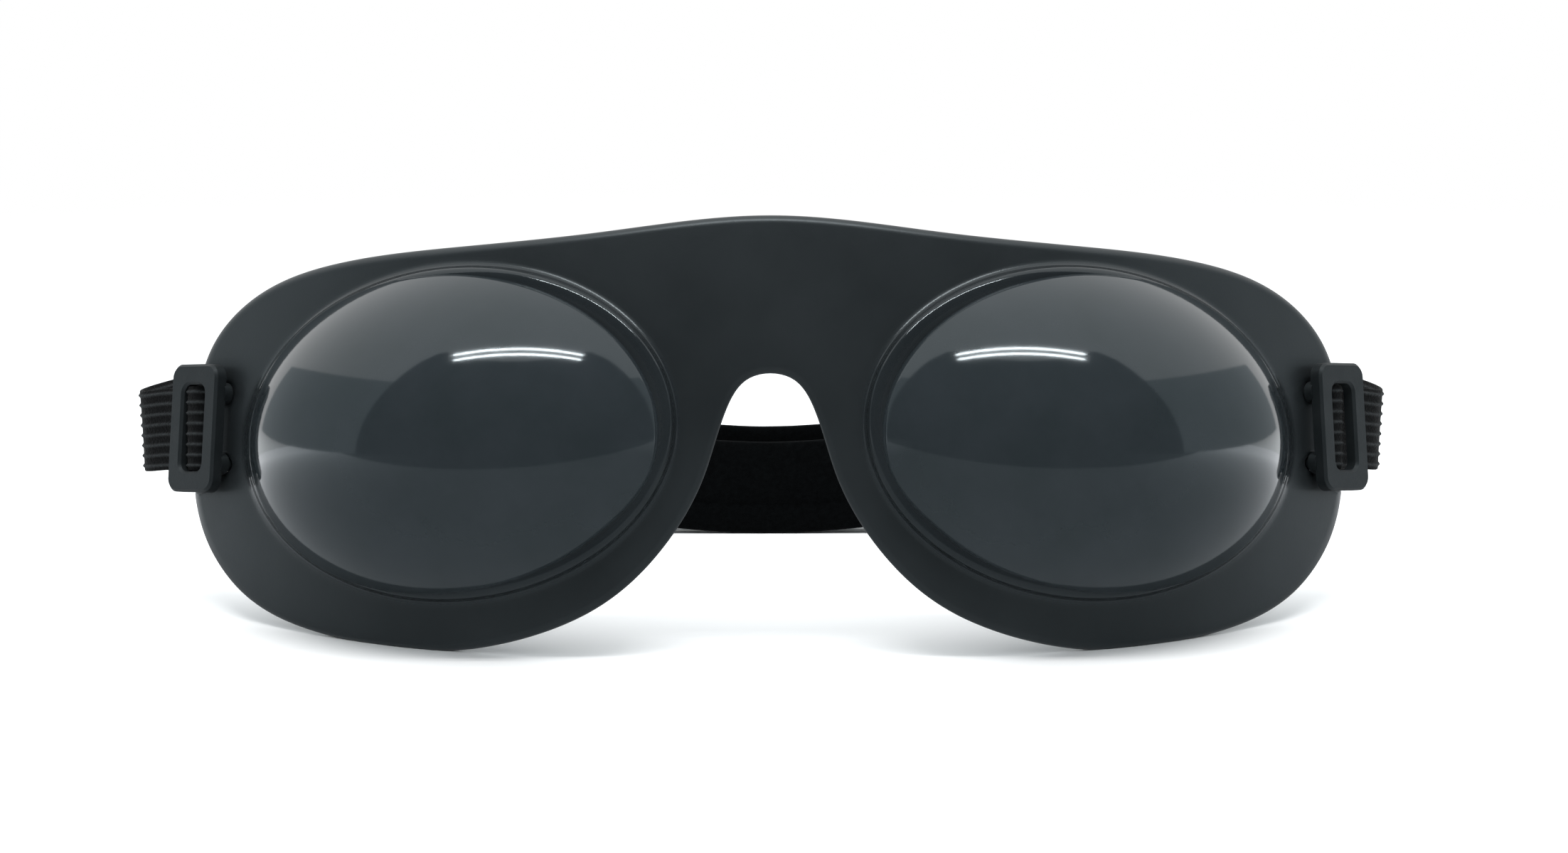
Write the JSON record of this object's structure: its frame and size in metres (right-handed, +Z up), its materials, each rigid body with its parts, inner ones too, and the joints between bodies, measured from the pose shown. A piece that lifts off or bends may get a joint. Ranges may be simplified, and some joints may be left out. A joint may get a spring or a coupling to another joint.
{
  "type": "domed eye mask",
  "caption": "Soft wrap-round eye mask with glossy eye domes, removable bead pads and an adjustable elastic strap.",
  "frame": {"origin": "on the table, under the middle of the object's box", "axes": "+X across the face towards the wearer's left, +Y back from the domes to the strap, +Z up the face"},
  "size_m": [0.196, 0.1097, 0.0658],
  "materials": {
    "soft_shell": "satin moulded silicone rubber, charcoal",
    "gloss_dome": "high gloss, charcoal",
    "buckle_plastic": "satin moulded plastic, dark grey",
    "ribbed_elastic": "black ribbed woven elastic",
    "soft_band": "black brushed knit over thin foam",
    "foam": "dark closed-cell foam",
    "pad_fabric": "dark grey brushed fabric, bead filled",
    "hook_tape": "black hook tape",
    "pile_tape": "black pile tape"
  },
  "bodies": {
    "mask": {"mask_frame": "soft_shell", "left_dome": "gloss_dome", "left_buckle": "buckle_plastic", "left_back_plate": "buckle_plastic", "right_dome": "gloss_dome", "right_buckle": "buckle_plastic", "right_back_plate": "buckle_plastic"},
    "left_loop": {"left_elastic_loop": "ribbed_elastic"},
    "left_strap": {"left_elastic": "ribbed_elastic", "left_rear_band": "soft_band", "hook_tape": "hook_tape"},
    "left_pad": {"left_foam_insert": "foam"},
    "left_beads": {"left_bead_pack": "pad_fabric"},
    "right_loop": {"right_elastic_loop": "ribbed_elastic"},
    "right_strap": {"right_elastic": "ribbed_elastic", "right_rear_band": "soft_band", "pile_tape": "pile_tape"},
    "right_pad": {"right_foam_insert": "foam"},
    "right_beads": {"right_bead_pack": "pad_fabric"}
  },
  "joints": [
    {"name": "left_loop_turn", "type": "hinge", "parent": "mask", "child": "left_loop", "pos_m": [-0.0881, -0.00866, 0.02842], "axis": [0.0456, 0.2184, 0.9748], "range_deg": [0, 5]},
    {"name": "left_strap_swing", "type": "hinge", "parent": "left_loop", "child": "left_strap", "pos_m": [-0.0972, 0.0005, 0.0266], "axis": [0, 0, 1], "range_deg": [0, 70]},
    {"name": "left_pad_out", "type": "slide", "parent": "mask", "child": "left_pad", "axis": [0, 0.9848, -0.1736], "range_m": [0, 0.016]},
    {"name": "left_beads_out", "type": "slide", "parent": "left_pad", "child": "left_beads", "axis": [0, 0.9848, -0.1736], "range_m": [0, 0.008]},
    {"name": "right_loop_turn", "type": "hinge", "parent": "mask", "child": "right_loop", "pos_m": [0.0881, -0.00866, 0.02842], "axis": [-0.0456, 0.2184, 0.9748], "range_deg": [0, 5]},
    {"name": "right_strap_swing", "type": "hinge", "parent": "right_loop", "child": "right_strap", "pos_m": [0.0972, 0.0005, 0.0266], "axis": [0, 0, 1], "range_deg": [0, 14]},
    {"name": "right_pad_out", "type": "slide", "parent": "mask", "child": "right_pad", "axis": [0, 0.9848, -0.1736], "range_m": [0, 0.016]},
    {"name": "right_beads_out", "type": "slide", "parent": "right_pad", "child": "right_beads", "axis": [0, 0.9848, -0.1736], "range_m": [0, 0.008]}
  ]
}
